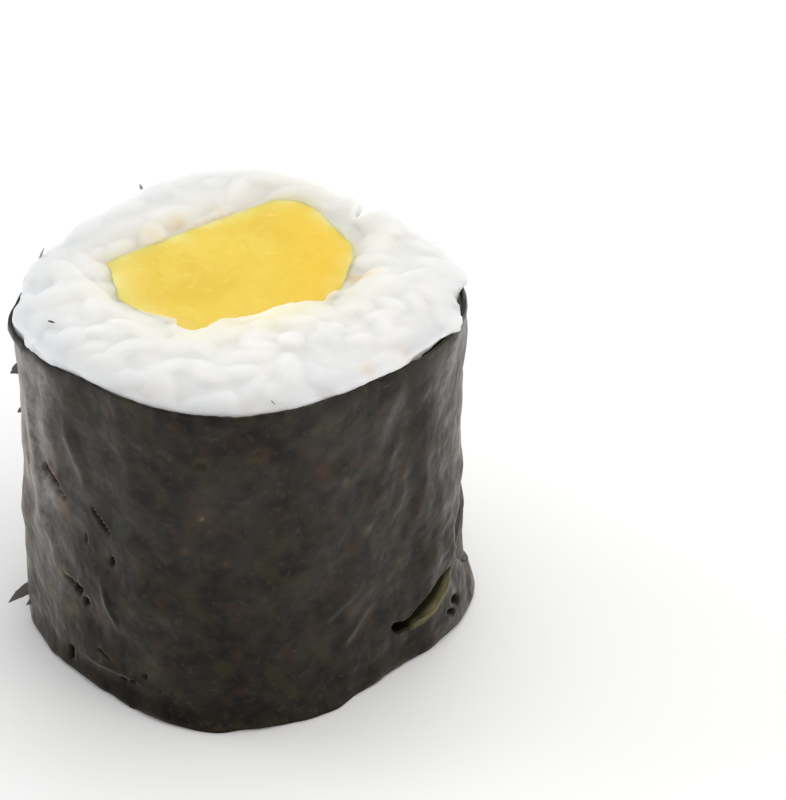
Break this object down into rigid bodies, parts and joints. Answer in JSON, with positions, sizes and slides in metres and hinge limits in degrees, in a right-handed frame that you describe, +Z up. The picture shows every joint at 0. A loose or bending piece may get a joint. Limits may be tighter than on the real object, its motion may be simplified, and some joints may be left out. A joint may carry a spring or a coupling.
{
  "type": "oshinko maki piece",
  "caption": "Thin sushi roll piece standing on its cut face: a sheet of nori round vinegared rice, with a thick strip of yellow pickled radish through the middle.",
  "frame": {"origin": "under the middle of the whole piece, on the surface that it stands on", "axes": "+Z up along the roll, from the lower cut face to the upper one; -Y is the side with the belly, +X the side where the sheet laps over itself"},
  "size_m": [0.0304, 0.0304, 0.0252],
  "materials": {
    "nori": "damp, faintly glossy",
    "rice": "moist, translucent",
    "pickle": "wet cut face"
  },
  "bodies": {
    "root": {"nori": "nori", "rice": "rice", "pickle": "pickle"}
  },
  "joints": []
}
